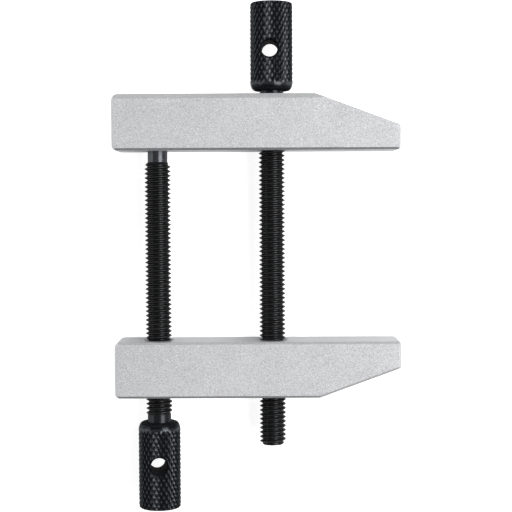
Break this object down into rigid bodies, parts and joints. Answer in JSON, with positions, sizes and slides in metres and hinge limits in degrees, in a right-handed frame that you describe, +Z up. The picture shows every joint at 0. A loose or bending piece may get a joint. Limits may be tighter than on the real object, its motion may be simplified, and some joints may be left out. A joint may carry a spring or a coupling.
{
  "type": "toolmakers clamp",
  "caption": "Parallel screw clamp with tapered jaws, guided by threaded spindles with knurled, cross-drilled heads.",
  "frame": {"origin": "on the side that the lower jaw lies on, under the centre spindle's axis and halfway up the jaw's height", "axes": "+X towards the noses, +Y from the lower jaw to the upper jaw along the spindles, +Z up from the side that the jaws lie on"},
  "size_m": [0.064, 0.1135, 0.0125],
  "materials": {
    "jaw_steel": "hardened steel, fine blasted silver-grey surface, ground clamping face",
    "blackened_spindle": "black oxide, rolled thread, slight oil sheen",
    "blackened_head": "black oxide, fine diamond knurl"
  },
  "bodies": {
    "lower_jaw": {"lower_jaw": "jaw_steel"},
    "upper_jaw": {"upper_jaw": "jaw_steel"},
    "centre_screw": {"centre_spindle": "blackened_spindle", "centre_knob": "blackened_head"},
    "rear_screw": {"rear_spindle": "blackened_spindle", "rear_knob": "blackened_head"}
  },
  "joints": [
    {"name": "jaw_opening", "type": "slide", "parent": "lower_jaw", "child": "upper_jaw", "axis": [0, 1, 0], "range_m": [-0.0424, 0.0059]},
    {"name": "centre_screw_turn", "type": "hinge", "parent": "upper_jaw", "child": "centre_screw", "pos_m": [0, 0.06215, 0.00625], "axis": [0, 1, 0], "range_deg": [-15265, 2125]},
    {"name": "rear_screw_turn", "type": "hinge", "parent": "upper_jaw", "child": "rear_screw", "pos_m": [-0.0257, -0.01225, 0.00625], "axis": [0, 1, 0], "range_deg": [-15265, 2125]}
  ],
  "couplings": [
    {"joint": "centre_screw_turn", "follows": "jaw_opening", "rad_per_m": 6283.2},
    {"joint": "rear_screw_turn", "follows": "jaw_opening", "rad_per_m": 6283.2}
  ]
}
